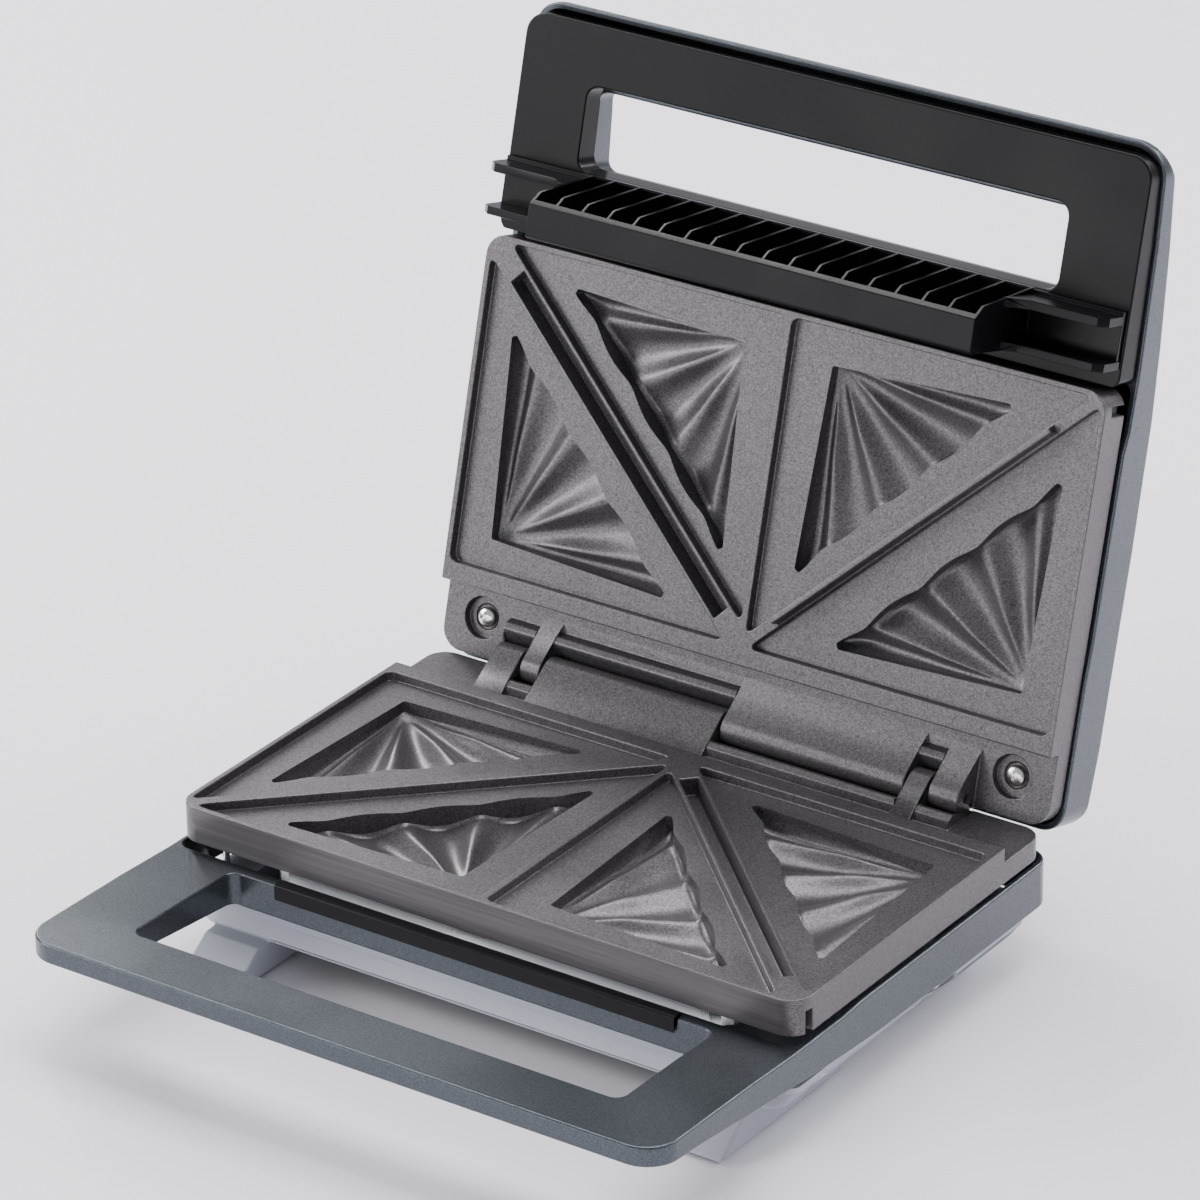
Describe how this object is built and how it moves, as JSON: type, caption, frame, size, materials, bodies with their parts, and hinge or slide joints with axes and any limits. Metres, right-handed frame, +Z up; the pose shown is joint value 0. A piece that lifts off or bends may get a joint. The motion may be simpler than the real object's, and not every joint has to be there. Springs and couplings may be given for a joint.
{
  "type": "sandwich toaster",
  "caption": "Small kitchen sandwich toaster with triangular shell pockets in a cast plate above and below, a hinged lid with a loop handle, and a ribbed finger guard.",
  "frame": {"origin": "middle of the footprint of the open toaster, on the surface its feet stand on", "axes": "+Z up, -Y towards the handle end that faces the user, +X to the user's right"},
  "size_m": [0.2528, 0.3077, 0.2721],
  "materials": {
    "painted_shell": "satin metallic paint",
    "grey_cover": "satin",
    "black_plastic": "satin",
    "coated_plate": "non-stick coating with fine sparkle",
    "element_sheath": "oxidised",
    "reflector_sheet": "bright rolled",
    "cream_block": "matte",
    "gland_rubber": "matte",
    "live_sleeve": "matte",
    "neutral_sleeve": "matte",
    "red_lens": "gloss",
    "green_lens": "gloss",
    "bright_steel": "zinc plated"
  },
  "bodies": {
    "base": {"lower_housing": "painted_shell", "bottom_cover": "grey_cover", "handle_edge_strip": "black_plastic", "lower_plate": "coated_plate", "lower_heating_element": "element_sheath", "lower_reflector": "reflector_sheet", "terminal_block": "cream_block", "cord_gland": "gland_rubber", "thermal_fuse": "element_sheath", "live_wire": "live_sleeve", "neutral_wire": "neutral_sleeve", "foot_pad_back_left": "gland_rubber", "foot_pad_back_right": "gland_rubber", "foot_pad_front_left": "gland_rubber", "foot_pad_front_right": "gland_rubber", "cover_screw_back_left": "bright_steel", "cover_screw_back_right": "bright_steel", "cover_screw_front_left": "bright_steel", "cover_screw_front_right": "bright_steel", "hinge_pin_left": "bright_steel", "hinge_pin_right": "bright_steel"},
    "lid": {"lid_shell": "painted_shell", "lid_inner_frame": "black_plastic", "finger_guard": "black_plastic", "upper_plate": "coated_plate", "upper_heating_element": "element_sheath", "upper_reflector": "reflector_sheet", "thermostat": "element_sheath", "lamp_lens_power": "red_lens", "lamp_lens_ready": "green_lens", "upper_plate_screw_left": "bright_steel", "upper_plate_screw_right": "bright_steel"}
  },
  "joints": [
    {"name": "lid_hinge", "type": "hinge", "parent": "base", "child": "lid", "pos_m": [0, 0.07515, 0.0542], "axis": [1, 0, 0], "range_deg": [0, 105.4]}
  ]
}
